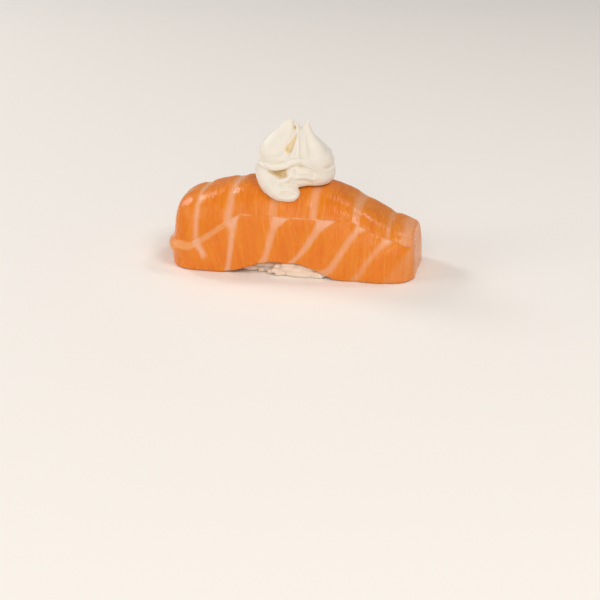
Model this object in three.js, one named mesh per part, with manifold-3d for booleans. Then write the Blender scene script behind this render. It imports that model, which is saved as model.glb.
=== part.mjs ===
// Salmon nigiri with a piped rosette of cream cheese: a pressed finger of rice, a thick slice of
// raw salmon laid over it, and a star-nozzle rosette on top.
//
// Millimetres, +Z up. The origin is the middle of the footprint, on the plate. +X runs along the
// finger to its low end, and -Y is the side where the slice hangs down to the plate.

import * as THREE from "three";
import { mergeVertices } from "three/addons/utils/BufferGeometryUtils.js";
import Module from "manifold-3d";

const { clamp, lerp, smoothstep, seededRandom, degToRad } = THREE.MathUtils;
const wasm = await Module();
wasm.setup();

// ---------------------------------------------------------------- driving dimensions

const GAP = 0.35; // clearance between two pieces that lie on each other
const CORE_GAP = 0.5; // the same, round the rice's core
const PLATE_CLEAR = 0.15; // the slice's edges stay this far off the plate
const RIM = 0.7; // height of the rounding along the slice's lower edge
const RIM_INSET = 0.6; // how far it goes in

// The top line of the slice, from its high end over the middle to its low end: x and z.
const RIDGE = [
  [-41.3, PLATE_CLEAR + RIM],
  [-41.3, 8],
  [-41.2, 13],
  [-40.9, 17.5],
  [-39.6, 20.5],
  [-37, 22.6],
  [-31, 24.6],
  [-23, 26.9],
  [-13, 28.4],
  [-2, 28.6],
  [9, 27.4],
  [17, 24.7],
  [23.5, 20.9],
  [30, 17.7],
  [35, 16.5],
  [37.6, 15.4],
  [38.3, 12.8],
  [38.6, 7],
  [38.7, PLATE_CLEAR + RIM],
];
const HALF_WIDTH = 16;
const SLICE_TOP_THICKNESS = 5.6;
const HOLLOW_HALF_LENGTH = 34.5; // the room for the rice under the slice
const HOLLOW_HALF_WIDTH = 12.9;

// Lines of fat across the slice: where each crosses the top, and where it starts below the seam.
const FAT_ABOVE = [-32.2, -21.2, -6.8, 6.2, 19.8, 29.7];
const FAT_BELOW = [-32.2, -19, -5.5, 9.6, 22.7, 30.5, 38.2];
const FAT_LEAN = 0.41; // how far a line below the seam leans back for each mm down, at x = 0
const FAT_FAN = 0.0145; // how much more it leans for each mm along the finger
const GROOVE_DEPTH = 0.4;
const GROOVE_WIDTH = 1.9;

// The seam along the front shoulder: its height at the high end, over the middle and at the low
// end. Just below it the flesh stands proud as a soft ledge, which is widest at the high end and
// ends there in an ear. At the low end the seam sinks into a crease.
const SEAM_LOW = 9.4;
const SEAM_HIGH = 19.6;
const SEAM_FOOT = 11;
const LEDGE_OUT = { highEnd: 0.9, lowEnd: 0.18 };
const LEDGE_WIDTH = { highEnd: 2.4, lowEnd: 0.8 };
const LEDGE_FADE = 4.5; // over how many mm further down the flesh comes back
const EAR = { out: 1, middle: 2.2, halfWidth: 2.2 };
const CREASE = { depth: 0.12, halfWidth: 0.9 };

const FRONT_LIFT = 4.5; // how high the middle of each long edge lifts off the plate
const BACK_LIFT = 8.5;

const GRAIN = { length: 6.2, width: 2.6, height: 2.3 };
const RICE_SEED = 7;
const RICE_EDGE = 14; // how far out the visible grains lie, to the front and to the back

// Where rice shows under a raised edge. heap: the low heap it comes out of, as the middle's x and
// y, half-length, half-depth and height. from, to: where its grains start and end along x.
const RICE_SHOWS = [
  { side: -1, heap: [1, -6.5, 12, 7.3, 4.6], from: -7.5, to: 10.5, rows: 2, rowHeight: 1.9 },
  { side: 1, heap: [-1.5, 7, 24, 7.3, 9.8], from: -22, to: 21, rows: 4, rowHeight: 2.1 },
];

// The rosette stands at x and is turned so that its front looks a little towards +X.
const ROSETTE = { x: -1.6, turn: 12.2 };

// Its ropes, lobes and folds are lines of balls. Each row gives right, front and height, as seen
// from the rosette's front, and the ball's radius.
const ROPE = [
  [-2.2, 9.6, 26.2, 3], // the cut end, in front
  [-4.8, 9.4, 27, 3.5],
  [-7.4, 7.2, 28.8, 4.3],
  [-8.9, 3, 30.8, 4.6],
  [-8.4, -3.5, 31.6, 4.6],
  [-3.5, -8.2, 31.6, 4.6],
  [3.5, -8.2, 31.6, 4.6],
  [7.8, -4, 31.2, 4.1],
  [8.5, 1.2, 30.2, 3.4],
  [6.6, 4.6, 30.4, 3.1],
  [3, 6.2, 31, 3],
  [0.2, 7, 30.7, 3],
];
const LOBES = {
  core: [
    [-1, 1, 31, 6.2],
    [-1, 1, 35, 6.6],
    [-0.2, 1.2, 40, 4.4],
    [0.2, 0.9, 43.6, 2.2],
    [0.4, 0.5, 45.4, 0.8],
  ],
  left: [
    [-7.2, 2.6, 38.2, 5.2],
    [-5.8, 1.8, 41.2, 3.9],
    [-4.3, 1.2, 44.2, 2.4],
    [-3.3, 0.8, 46.4, 1.6],
  ],
  leftFace: [
    [-6.2, 4.2, 38, 3.6],
    [-4.6, 2.7, 41.6, 3.1],
    [-3.3, 1.7, 44.4, 2.3],
    [-2.7, 1, 46.5, 1.6],
  ],
  leftPeak: [
    [-3.1, 0.8, 47, 1.3],
    [-2.2, 0.5, 47.5, 1.15],
  ],
  tooth: [
    [-1, 6.4, 37.4, 2.5],
    [-0.9, 5.6, 39.6, 2.3],
    [-0.5, 4, 42.6, 1.7],
    [-0.1, 2.4, 45, 0.9],
  ],
  right: [
    [5.6, 2.4, 35.6, 4.2],
    [5, 2.4, 37.8, 3.8],
    [3.9, 2, 40.6, 3.1],
    [3, 1.4, 43.6, 2],
    [2.9, 0.6, 46.2, 0.95],
    [3.1, 0.2, 47.4, 0.5],
  ],
  rightFace: [
    [1.5, 5.6, 37.4, 2.6],
    [1.4, 5.1, 40, 2],
    [1.3, 3.4, 42.8, 1.3],
    [1.2, 1.6, 45, 0.7],
  ],
  shoulder: [
    [2.6, 5.6, 36.8, 1.6],
    [5.2, 5.2, 36.2, 2.2],
    [7.8, 3, 35.8, 2.6],
    [8.6, -1.4, 36.4, 2.5],
  ],
  rightFlank: [
    [4.4, 5, 35.4, 3],
    [7.2, 3.4, 34.8, 3],
    [9, -0.5, 34.8, 2.8],
  ],
  skirt: [
    [-11, 2.8, 36, 1.6],
    [-9, 5, 36.3, 2],
    [-6.6, 6.7, 36.8, 2.1],
    [-4, 7.3, 37.4, 2.1],
    [-1.5, 7.6, 37.7, 1.8],
  ],
  front: [
    [-3, 6, 31, 4],
    [0, 6, 32, 4],
    [3.4, 5.2, 31.6, 3.8],
    [6, 3.8, 31, 3.4],
  ],
  post: [
    [-2.4, 8, 32.2, 2],
    [-2.3, 7.8, 34, 2.1],
    [-1, 7.4, 35.4, 2.2],
  ],
};

// The same for the thin ridges, lips and layers that stand out of the lobes.
const FOLDS = {
  ridge: [
    [-0.2, 8.6, 37, 0.8],
    [-0.15, 8, 39.6, 0.8],
    [-0.1, 5.9, 42.4, 0.7],
    [-0.1, 3.2, 45, 0.55],
    [-0.1, 1.2, 47.2, 0.4],
  ],
  lip: [
    [-12.2, 3, 34.6, 0.8],
    [-10.2, 6.6, 34.6, 0.9],
    [-7.2, 9.3, 34.8, 1],
    [-4, 10.2, 35.8, 1.1],
    [-1.5, 9.9, 36.8, 1.1],
    [0.6, 9, 37, 0.9],
  ],
  rim: [
    [-11.2, 4.4, 33, 0.9],
    [-8.4, 8.6, 31.4, 0.9],
    [-5.6, 10.6, 30.8, 0.9],
    [-3.8, 10.4, 31.1, 0.9],
    [-2.4, 9.6, 32.2, 0.9],
  ],
  upperLayer: [
    [0.4, 8.6, 36.6, 1],
    [2.9, 8, 36.2, 1.1],
    [6, 6.7, 34.2, 1.1],
    [8.8, 4.8, 32.2, 1],
    [11.3, 0.8, 32.4, 0.9],
  ],
  middleLayer: [
    [-0.4, 9, 34, 1.1],
    [2.4, 8.9, 34.1, 1.1],
    [4.9, 8, 33.1, 1],
    [7, 6.4, 32, 0.8],
  ],
  lowerLayer: [
    [-0.6, 9.6, 32.1, 1.1],
    [2, 9.5, 32.3, 1.1],
    [4.7, 8.3, 31, 1],
    [6.4, 7, 30.4, 0.8],
  ],
};

// The lobes of the far side are alike: each leans in from its foot to the torn middle.
const BACK_LOBES = [
  { foot: [6.6, -2.6, 35.6], tip: [1, -0.5, 44.8], radius: 4.2 },
  { foot: [2.2, -7, 36], tip: [0.4, -1, 44.4], radius: 4.6 },
  { foot: [-4.2, -6, 36.4], tip: [-1.4, -0.8, 45.2], radius: 4.6 },
  { foot: [-8, -1.6, 37], tip: [-2.6, 0, 45.8], radius: 3.9 },
];
// Share of the way, how much lower than the straight line, and share of the foot's radius.
const BACK_LOBE_SHAPE = [
  [0, 0, 1],
  [0.42, 0.4, 0.82],
  [0.82, 0.2, 0.47],
  [1, 0, 0.2],
];

// ---------------------------------------------------------------- solids from bent grids

/** Moves every vertex of a geometry by a function that changes the point it is given. */
function bend(geometry, place) {
  const position = geometry.attributes.position;
  const point = new THREE.Vector3();
  for (let i = 0; i < position.count; i++) {
    place(point.fromBufferAttribute(position, i));
    position.setXYZ(i, point.x, point.y, point.z);
  }
  return geometry;
}

/** A closed geometry as a manifold solid, for joining and cutting. */
function toSolid(geometry) {
  geometry.deleteAttribute("normal");
  geometry.deleteAttribute("uv");
  const merged = mergeVertices(geometry, 1e-4);
  return new wasm.Manifold(
    new wasm.Mesh({
      numProp: 3,
      vertProperties: merged.attributes.position.array,
      triVerts: new Uint32Array(merged.index.array),
    }),
  );
}

/** Drops the triangles that merging near vertices has left with two corners alike. */
function dropFlat(geometry) {
  const kept = [];
  for (let i = 0; i < geometry.index.count; i += 3) {
    const corners = [0, 1, 2].map((corner) => geometry.index.getX(i + corner));
    if (new Set(corners).size === 3) kept.push(...corners);
  }
  return geometry.setIndex(kept);
}

/** The largest body of a manifold solid, as a named mesh. */
function toMesh(name, solid, material) {
  const bodies = solid.decompose().sort((a, b) => b.volume() - a.volume());
  const { vertProperties, triVerts } = bodies[0].getMesh();
  const body = new THREE.BufferGeometry()
    .setAttribute("position", new THREE.BufferAttribute(vertProperties, 3))
    .setIndex(new THREE.BufferAttribute(triVerts, 1));
  const geometry = dropFlat(mergeVertices(body, 1e-3));
  geometry.computeVertexNormals();
  const mesh = new THREE.Mesh(geometry, material);
  mesh.name = name;
  return mesh;
}

/** A smooth bump: 1 in the middle, and about 0 from twice the half-width outwards. */
const bump = (value, middle, halfWidth) => Math.exp(-(((value - middle) / halfWidth) ** 2));

// ---------------------------------------------------------------- the slice's outer form

const ridge = new THREE.CatmullRomCurve3(
  RIDGE.map(([x, z]) => new THREE.Vector3(x, 0, z)),
  false,
  "centripetal",
);
ridge.arcLengthDivisions = 400;
const ridgeLength = ridge.getLength();
const ridgePoints = ridge.getPoints(400);

/** Half the slice's width at x: nearly parallel sides, with rounded corners. */
const halfWidth = (x) => {
  const share = x < 0 ? (-x / 41.9) ** 14 : (x / 39.5) ** 12;
  return HALF_WIDTH * Math.max(0.05, 1 - share) ** 0.4;
};

/** Height of the seam above the plate at x. */
const seamHeight = (x) =>
  lerp(SEAM_LOW, SEAM_HIGH, clamp((x + 34) / 16, 0, 1)) -
  (SEAM_HIGH - SEAM_FOOT) * smoothstep(x, 19, 40);

const frontLift = (x) =>
  PLATE_CLEAR + FRONT_LIFT * smoothstep(x, -24, -6) * (1 - smoothstep(x, 1, 15));
const backLift = (x) =>
  PLATE_CLEAR + BACK_LIFT * smoothstep(x, -30, -17) * (1 - smoothstep(x, 14, 28));

// The cross-section is a squared-off arch: y and z are the sine and cosine to this power.
const ARCH_POWER = 2 / 3;

/** A point of the arch at an angle from the top, negative towards the front. */
const arch = (angle) => ({
  y: Math.sign(angle) * Math.abs(Math.sin(angle)) ** ARCH_POWER,
  z: Math.max(0, Math.cos(angle)) ** ARCH_POWER,
});

/** The angle at which the arch has the given share of its height. */
const archAngle = (share) => Math.acos(clamp(share, 0, 1) ** (1 / ARCH_POWER));

const SEAM_V = -0.25; // the row of the outer grid that lies on the seam

/** A point of the smooth outer form: u from -1 to 1 along the ridge, v from front to back. */
function smoothForm(u, v, target) {
  const top = ridge.getPointAt(clamp((u + 1) / 2, 0, 1));
  const seam = -archAngle(Math.min(0.8, seamHeight(top.x) / top.z));
  const front = -archAngle(Math.min(0.5, (frontLift(top.x) + RIM) / top.z));
  const back = archAngle(Math.min(0.5, (backLift(top.x) + RIM) / top.z));
  const below = (SEAM_V - v) / (1 + SEAM_V); // 0 on the seam, 1 on the front edge
  const above = (v - SEAM_V) / (1 - SEAM_V); // 0 on the seam, 1 on the back edge
  const { y, z } = arch(v < SEAM_V ? lerp(seam, front, below ** 0.7) : lerp(seam, back, above));
  return target.set(top.x, y * halfWidth(top.x), z * top.z);
}

/** Height of the top line over x, away from the two ends. */
function ridgeHeight(x) {
  const next = Math.max(1, ridgePoints.findIndex((point) => point.x > x));
  const [a, b] = [ridgePoints[next - 1], ridgePoints[next]];
  return lerp(a.z, b.z, (x - a.x) / (b.x - a.x));
}

// ---------------------------------------------------------------- relief of the flesh

/**
 * How far the flesh stands out from the smooth form, in mm: x is where the grid's column meets
 * the seam, below is the depth below the seam (negative above it) and y is the place across.
 */
function relief(x, below, y) {
  const inFront = 1 - smoothstep(y, -7, 6);
  const lines = below > 0 ? FAT_BELOW : FAT_ABOVE;
  const distance = Math.min(...lines.map((line) => Math.abs(x - line)));
  const groove = GROOVE_DEPTH * bump(distance, 0, GROOVE_WIDTH);
  const toLowEnd = smoothstep(x, -30, -14);
  const width = lerp(LEDGE_WIDTH.highEnd, LEDGE_WIDTH.lowEnd, toLowEnd);
  const ledge = lerp(LEDGE_OUT.highEnd, LEDGE_OUT.lowEnd, toLowEnd) * smoothstep(below, -0.2, width);
  const step = ledge * Math.exp(-Math.max(0, below - width) / LEDGE_FADE);
  const ear = EAR.out * (1 - smoothstep(x, -40, -33)) * bump(below, EAR.middle, EAR.halfWidth);
  const crease = CREASE.depth * smoothstep(x, 8, 26) * bump(below, -0.2, CREASE.halfWidth);
  return inFront * (step + ear - crease) - groove;
}

/** How far u moves where a column below the seam leans back along the lines of fat. */
function lean(u, x, below) {
  const shift = (FAT_LEAN + FAT_FAN * x) * Math.max(0, below);
  return (-2 * shift * (1 - Math.abs(u) ** 6)) / ridgeLength;
}

const STEP = 0.004; // for the slopes of the smooth form, in u and v

/** A point of the slice's outside: the smooth form moved out along its normal by the relief. */
function outerSurface(u, v, clearance, target) {
  smoothForm(u, v, target);
  const x = target.x;
  const below = seamHeight(x) - target.z;
  const leaning = u + (v < SEAM_V ? lean(u, x, below) : 0);
  const uMid = clamp(leaning, -1 + STEP, 1 - STEP);
  const vMid = clamp(v, -1 + STEP, 1 - STEP);
  const alongU = smoothForm(uMid + STEP, vMid, new THREE.Vector3());
  alongU.sub(smoothForm(uMid - STEP, vMid, target));
  const alongV = smoothForm(uMid, vMid + STEP, new THREE.Vector3());
  alongV.sub(smoothForm(uMid, vMid - STEP, target));
  const normal = alongU.cross(alongV).normalize();
  smoothForm(leaning, v, target);
  const out = relief(x, v < SEAM_V ? below : Math.min(0, below), target.y);
  return target.addScaledVector(normal, out + clearance);
}

// ---------------------------------------------------------------- the slice

const ALONG = 68; // columns and rows of the slice's outer grid
const ACROSS = 22;

/** The slice before the rice is taken out of it, grown by the clearance. */
function sliceBlank(clearance) {
  const grid = new THREE.BoxGeometry(2, 2, 1, ALONG, ACROSS, 1);
  const inset = RIM_INSET - clearance;
  return toSolid(
    bend(grid, (point) => {
      const { x: u, y: v, z: side } = point;
      if (side > 0) {
        outerSurface(u, v, clearance, point);
        return;
      }
      if (Math.max(Math.abs(u), Math.abs(v)) < 1) {
        point.set(u * HOLLOW_HALF_LENGTH * 0.9, v * HOLLOW_HALF_WIDTH * 0.9, 0);
      } else {
        smoothForm(u, v, point);
        point.x -= Math.sign(point.x) * inset;
        point.y -= Math.sign(point.y) * Math.min(inset, Math.abs(point.y));
      }
      const across = (1 + point.y / HALF_WIDTH) / 2;
      point.z = lerp(frontLift(point.x), backLift(point.x), clamp(across, 0, 1)) - clearance;
    }),
  );
}

/** A domed finger from the floor up to the given depth below the slice's top line. */
function finger(halfLength, halfY, depth, floor) {
  const grid = new THREE.BoxGeometry(2, 2, 1, 18, 10, 1);
  return toSolid(
    bend(grid, (point) => {
      const { x: u, y: v, z: side } = point;
      const end = Math.sqrt(Math.max(0.03, 1 - u ** 6));
      const x = u * halfLength;
      const { y, z } = arch((v * Math.PI) / 2);
      const height = Math.max(floor + 1, (ridgeHeight(x) - depth) * end * z);
      point.set(x, y * halfY * lerp(0.6, 1, end), side > 0 ? height : floor);
    }),
  );
}

const BELOW_PLATE = -5; // the room for the rice is cut right through the slice's underside

/** The slice with the room for the rice taken out, grown on all sides by the clearance. */
function sliceShell(clearance) {
  const hollow = finger(
    HOLLOW_HALF_LENGTH - clearance,
    HOLLOW_HALF_WIDTH - clearance,
    SLICE_TOP_THICKNESS + clearance,
    BELOW_PLATE,
  );
  return sliceBlank(clearance).subtract(hollow);
}

// ---------------------------------------------------------------- the rice

const spread = (middle, half) => middle + half * (2 * seededRandom() - 1);

/** A low heap of pressed rice that comes out under a raised edge of the slice. */
function heap([x, y, halfLength, halfY, height]) {
  const dome = new THREE.SphereGeometry(1, 16, 8).rotateX(Math.PI / 2);
  return toSolid(
    bend(dome, (point) => {
      point.set(x + point.x * halfLength, y + point.y * halfY, Math.max(0, point.z * height));
    }),
  );
}

/** One short, plump grain, lying roughly along the finger. */
function grain(x, y, z) {
  const seed = new THREE.SphereGeometry(1, 6, 4);
  seed.rotateZ(Math.PI / 2);
  seed.scale(GRAIN.length / 2, GRAIN.width / 2, GRAIN.height / 2);
  seed.rotateY(degToRad(spread(0, 8)));
  seed.rotateZ(degToRad(spread(0, 12)));
  seed.translate(x, y, z);
  return toSolid(seed);
}

/** The grains that show along one raised edge: rows one above the other, shifted like bricks. */
function grainRows({ side, from, to, rows, rowHeight }) {
  const grains = [];
  const pitch = GRAIN.length * 1.04;
  for (let row = 0; row < rows; row++) {
    const z = GRAIN.height / 2 + 0.3 + row * rowHeight;
    for (let x = from + (row % 2) * pitch * 0.5 + row; x < to - row; x += pitch) {
      const y = side * (RICE_EDGE - row * 0.2 + spread(0, 0.2));
      grains.push(grain(spread(x, 0.4), y, z));
    }
  }
  return grains;
}

/** The pressed rice: a finger under the slice, with its grains where the edges are raised. */
function riceSolid() {
  seededRandom(RICE_SEED);
  const core = finger(
    HOLLOW_HALF_LENGTH - CORE_GAP,
    HOLLOW_HALF_WIDTH - CORE_GAP,
    SLICE_TOP_THICKNESS + CORE_GAP,
    0,
  );
  const heaps = RICE_SHOWS.map((edge) => heap(edge.heap));
  const grains = RICE_SHOWS.flatMap(grainRows);
  return wasm.Manifold.union([...heaps, ...grains]).subtract(sliceShell(GAP)).add(core);
}

// ---------------------------------------------------------------- the cream cheese

/** A point of the rosette, given as seen from its front. */
function toTable([right, front, height]) {
  const turn = degToRad(ROSETTE.turn);
  const x = ROSETTE.x + right * Math.cos(turn) + front * Math.sin(turn);
  return new THREE.Vector3(x, right * Math.sin(turn) - front * Math.cos(turn), height);
}

const CAP = 0.22; // share of the sphere, from pole to pole, that closes each end of a lobe
const STANDING = new THREE.Vector3(0.13, 0.21, 1); // no lobe runs this way

/** The skin round a line of balls: a sphere of the given fineness, drawn out along the line. */
function lobe(rows, around, along) {
  const line = new THREE.CatmullRomCurve3(rows.map(toTable), false, "centripetal");
  const last = rows.length - 1;
  const radiusAt = (share) => {
    const row = Math.min(Math.floor(share * last), last - 1);
    return lerp(rows[row][3], rows[row + 1][3], share * last - row);
  };
  const tiltAt = (share) => {
    const start = Math.min(share, 1 - STEP);
    const way = line.getPoint(start).distanceTo(line.getPoint(start + STEP));
    return Math.asin(clamp((radiusAt(start) - radiusAt(start + STEP)) / way, -0.95, 0.95));
  };
  const ball = new THREE.SphereGeometry(1, around, along).rotateX(Math.PI / 2);
  return toSolid(
    bend(ball, (point) => {
      const share = Math.acos(clamp(-point.z, -1, 1)) / Math.PI;
      const here = clamp((share - CAP) / (1 - 2 * CAP), 0, 1);
      let tilt = tiltAt(here);
      if (share < CAP) tilt = lerp(-Math.PI / 2, tilt, share / CAP);
      if (share > 1 - CAP) tilt = lerp(Math.PI / 2, tilt, (1 - share) / CAP);
      const ahead = line.getTangent(here);
      const aside = STANDING.clone().cross(ahead).normalize();
      const upward = ahead.clone().cross(aside);
      const turn = Math.atan2(point.y, point.x);
      const radius = radiusAt(here);
      point.copy(line.getPoint(here));
      point.addScaledVector(ahead, radius * Math.sin(tilt));
      point.addScaledVector(aside, radius * Math.cos(tilt) * Math.cos(turn));
      point.addScaledVector(upward, radius * Math.cos(tilt) * Math.sin(turn));
    }),
  );
}

/** One lobe of the far side, from its foot to its tip. */
function backLobe({ foot, tip, radius }) {
  const rows = BACK_LOBE_SHAPE.map(([way, lower, share]) => {
    const [right, front, height] = foot.map((start, axis) => lerp(start, tip[axis], way));
    return [right, front, height - lower, radius * share];
  });
  return lobe(rows, 14, 12);
}

/** The rosette, lying on the slice. */
function rosette() {
  const lobes = Object.values(LOBES).map((rows) => lobe(rows, 14, 14));
  const folds = Object.values(FOLDS).map((rows) => lobe(rows, 8, 12));
  const parts = [lobe(ROPE, 16, 34), ...lobes, ...folds, ...BACK_LOBES.map(backLobe)];
  return wasm.Manifold.union(parts).subtract(sliceBlank(GAP));
}

// ---------------------------------------------------------------- the whole piece

const salmonFlesh = new THREE.MeshStandardMaterial({ color: 0xe8762c, roughness: 0.3 });
const rice = new THREE.MeshStandardMaterial({ color: 0xf0e6d8, roughness: 0.55 });
const creamCheese = new THREE.MeshStandardMaterial({ color: 0xf5ead2, roughness: 0.45 });

const nigiri = new THREE.Group();
nigiri.add(toMesh("rice", riceSolid(), rice));
nigiri.add(toMesh("salmon_slice", sliceShell(0), salmonFlesh));
nigiri.add(toMesh("cream_rosette", rosette(), creamCheese));

export default nigiri;
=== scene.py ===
# %% [markdown]
# # Salmon nigiri with a rosette of cream cheese
# A finger of pressed rice carries one thick slice of raw salmon, and a star nozzle has piped a
# rosette of cream cheese on top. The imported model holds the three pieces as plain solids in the
# right sizes and places. This lesson gives each of them its fine form and its finish: first the
# camera and light, then the salmon, the rice and the cream.

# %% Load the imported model
import math
import random

import bmesh
import bpy
import numpy as np
from mathutils import Matrix, Vector, noise
from mathutils.bvhtree import BVHTree


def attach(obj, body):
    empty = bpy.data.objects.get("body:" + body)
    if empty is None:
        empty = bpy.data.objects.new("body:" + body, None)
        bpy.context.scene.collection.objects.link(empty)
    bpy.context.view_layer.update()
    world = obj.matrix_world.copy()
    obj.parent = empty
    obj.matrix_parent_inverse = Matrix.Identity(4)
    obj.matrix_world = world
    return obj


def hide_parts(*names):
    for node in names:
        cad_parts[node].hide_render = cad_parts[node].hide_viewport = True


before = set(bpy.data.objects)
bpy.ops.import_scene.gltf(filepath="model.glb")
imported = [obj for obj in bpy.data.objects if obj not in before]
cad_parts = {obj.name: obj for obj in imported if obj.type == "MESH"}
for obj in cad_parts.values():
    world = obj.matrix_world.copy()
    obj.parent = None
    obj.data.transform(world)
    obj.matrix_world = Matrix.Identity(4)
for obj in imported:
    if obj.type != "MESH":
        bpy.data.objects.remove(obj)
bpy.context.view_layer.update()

# %% [markdown]
# ## Camera, floor and light
# The dish stands on a table and the eye is a little above it, so the camera looks down by about
# 22 degrees. A long lens keeps the finger's sides nearly parallel, so its form reads clearly. Two
# soft boxes hang high on the left and on the right, a broad one stands behind the eye, two small
# windows shine from behind, and a pale room fills the shadows. Soft boxes give wet fish its broad,
# broken highlights, and the windows give it the small bright ones.

# %% Place the camera
MM = 0.001
EYE = (99.7, -469.1, 177.0)  # in mm
LOOKS_DOWN = 21.7  # degrees below the horizon
LOOKS_LEFT = 12.1  # degrees from +Y towards -X
SENSOR = 36.0
LENS = 92.8

camera_data = bpy.data.cameras.new("camera")
camera_data.sensor_width = SENSOR
camera_data.lens = LENS
camera_data.clip_start = 0.05
camera_data.clip_end = 20
camera = bpy.data.objects.new("camera", camera_data)
camera.location = [c * MM for c in EYE]
camera.rotation_euler = (math.radians(90 - LOOKS_DOWN), 0, math.radians(LOOKS_LEFT))
bpy.context.scene.collection.objects.link(camera)
bpy.context.scene.camera = camera


# %% Helpers for colours and materials
def linear(hex_colour):
    """An sRGB hex colour as the linear RGBA that Blender's sockets take."""
    parts = [int(hex_colour[i : i + 2], 16) / 255 for i in (1, 3, 5)]
    return [p / 12.92 if p <= 0.04045 else ((p + 0.055) / 1.055) ** 2.4 for p in parts] + [1]


def add(tree, kind, inputs=None, **settings):
    """Adds a node: inputs holds a value or another node's output for each input socket."""
    made = tree.nodes.new(kind)
    for name, value in settings.items():
        setattr(made, name, value)
    for name, value in (inputs or {}).items():
        if isinstance(value, bpy.types.NodeSocket):
            tree.links.new(value, made.inputs[name])
        else:
            made.inputs[name].default_value = value
    return made


def new_material(name):
    """An empty node tree with its output, and the material it belongs to."""
    material = bpy.data.materials.new(name)
    material.use_nodes = True
    material.node_tree.nodes.clear()
    return material, material.node_tree


# %% Lay the floor
FLOOR_SIZE = 6.0
board, tree = new_material("matt_painted_board")
paint = add(tree, "ShaderNodeBsdfPrincipled", {"Base Color": linear("#FEFAF5"), "Roughness": 0.6})
add(tree, "ShaderNodeOutputMaterial", {"Surface": paint.outputs["BSDF"]})

bm = bmesh.new()
bmesh.ops.create_grid(bm, x_segments=1, y_segments=1, size=FLOOR_SIZE / 2)
floor_mesh = bpy.data.meshes.new("floor")
bm.to_mesh(floor_mesh)
bm.free()
floor_mesh.materials.append(board)
floor = bpy.data.objects.new("floor", floor_mesh)
bpy.context.scene.collection.objects.link(floor)

# %% Hang the lights
ROOM_GLOW = 0.3
# name: place in metres, size, power in watts, colour
LIGHTS = {
    "key_left": ((-0.74, -0.36, 0.44), 0.34, 1.4, "#FFF8F0"),
    "key_right": ((0.44, -0.40, 0.72), 0.34, 2.5, "#FFFAF4"),
    "front": ((0.10, -0.90, 0.44), 0.60, 2.9, "#FFFAF4"),
    "window_left": ((-0.67, 0.33, 0.51), 0.24, 2.1, "#FFFFFF"),
    "window_back": ((0.36, 0.32, 0.78), 0.16, 1.0, "#FFFFFF"),
}
for name, (place, size, power, colour) in LIGHTS.items():
    light_data = bpy.data.lights.new(name, "AREA")
    light_data.size = size
    light_data.energy = power
    light_data.color = linear(colour)[:3]
    light = bpy.data.objects.new(name, light_data)
    direction = Vector(place) * -1
    light.location = place
    light.rotation_euler = direction.to_track_quat("-Z", "Y").to_euler()
    bpy.context.scene.collection.objects.link(light)

room = bpy.data.worlds.new("room")
room.use_nodes = True
room.node_tree.nodes.clear()
glow = add(
    room.node_tree,
    "ShaderNodeBackground",
    {"Color": linear("#F4F0EC"), "Strength": ROOM_GLOW},
)
add(room.node_tree, "ShaderNodeOutputWorld", {"Surface": glow.outputs["Background"]})
bpy.context.scene.world = room
bpy.context.scene.view_settings.view_transform = "Standard"
print("lights:", ", ".join(LIGHTS))

# %% [markdown]
# ## The arithmetic of soft forms
# Flesh and cream have no straight edges. Three little curves do most of the shaping: a straight
# blend, a smooth step from 0 to 1, and a bump that is 1 in the middle and fades to both sides.
# They work on whole arrays, so a mesh of fifty thousand points bends in an instant.


# %% Blend, step, bump and a smooth line
def lerp(start, end, share):
    return start + (end - start) * share


def smoothstep(value, low, high):
    share = np.clip((value - low) / (high - low), 0, 1)
    return share * share * (3 - 2 * share)


def bump(value, middle, half_width):
    return np.exp(-(((value - middle) / half_width) ** 2))


def smooth_line(points, steps=40):
    """A centripetal Catmull-Rom line through the points, as many close points."""
    knots = np.array(points, float)
    knots = np.vstack([2 * knots[0] - knots[1], knots, 2 * knots[-1] - knots[-2]])
    gaps = np.sqrt(np.linalg.norm(np.diff(knots, axis=0), axis=1))
    share = np.linspace(0, 1, steps, endpoint=False)[:, None]
    stretches = []
    for i in range(1, len(knots) - 2):
        before, gap, after = gaps[i - 1 : i + 2]
        p0, p1, p2, p3 = knots[i - 1 : i + 3]
        leaving = gap * ((p1 - p0) / before - (p2 - p0) / (before + gap)) + (p2 - p1)
        arriving = (p2 - p1) - gap * ((p3 - p1) / (gap + after) - (p3 - p2) / after)
        bend = 3 * (p2 - p1) - 2 * leaving - arriving
        twist = 2 * (p1 - p2) + leaving + arriving
        stretches.append(p1 + leaving * share + bend * share**2 + twist * share**3)
    return np.vstack(stretches + [knots[-2:-1]])


def uneven(points, size, seed):
    """Smooth unevenness from -1 to 1 for points in mm, with lumps about size mm across."""
    return np.array([noise.noise(p) for p in points / size + seed])


# %% [markdown]
# ## The salmon slice: form
# The slice was cut across the fillet and laid over the rice, so its top line rises from the
# plate, runs over the rice and comes down again. Its section is a squared-off arch. A seam runs
# along the front shoulder, where two blocks of muscle meet, and the flesh below it stands proud
# as a sloping ledge. A grid of two numbers, u along the top line and v from front to back, is
# bent to this form, because every line of fat then follows the grid.

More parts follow.
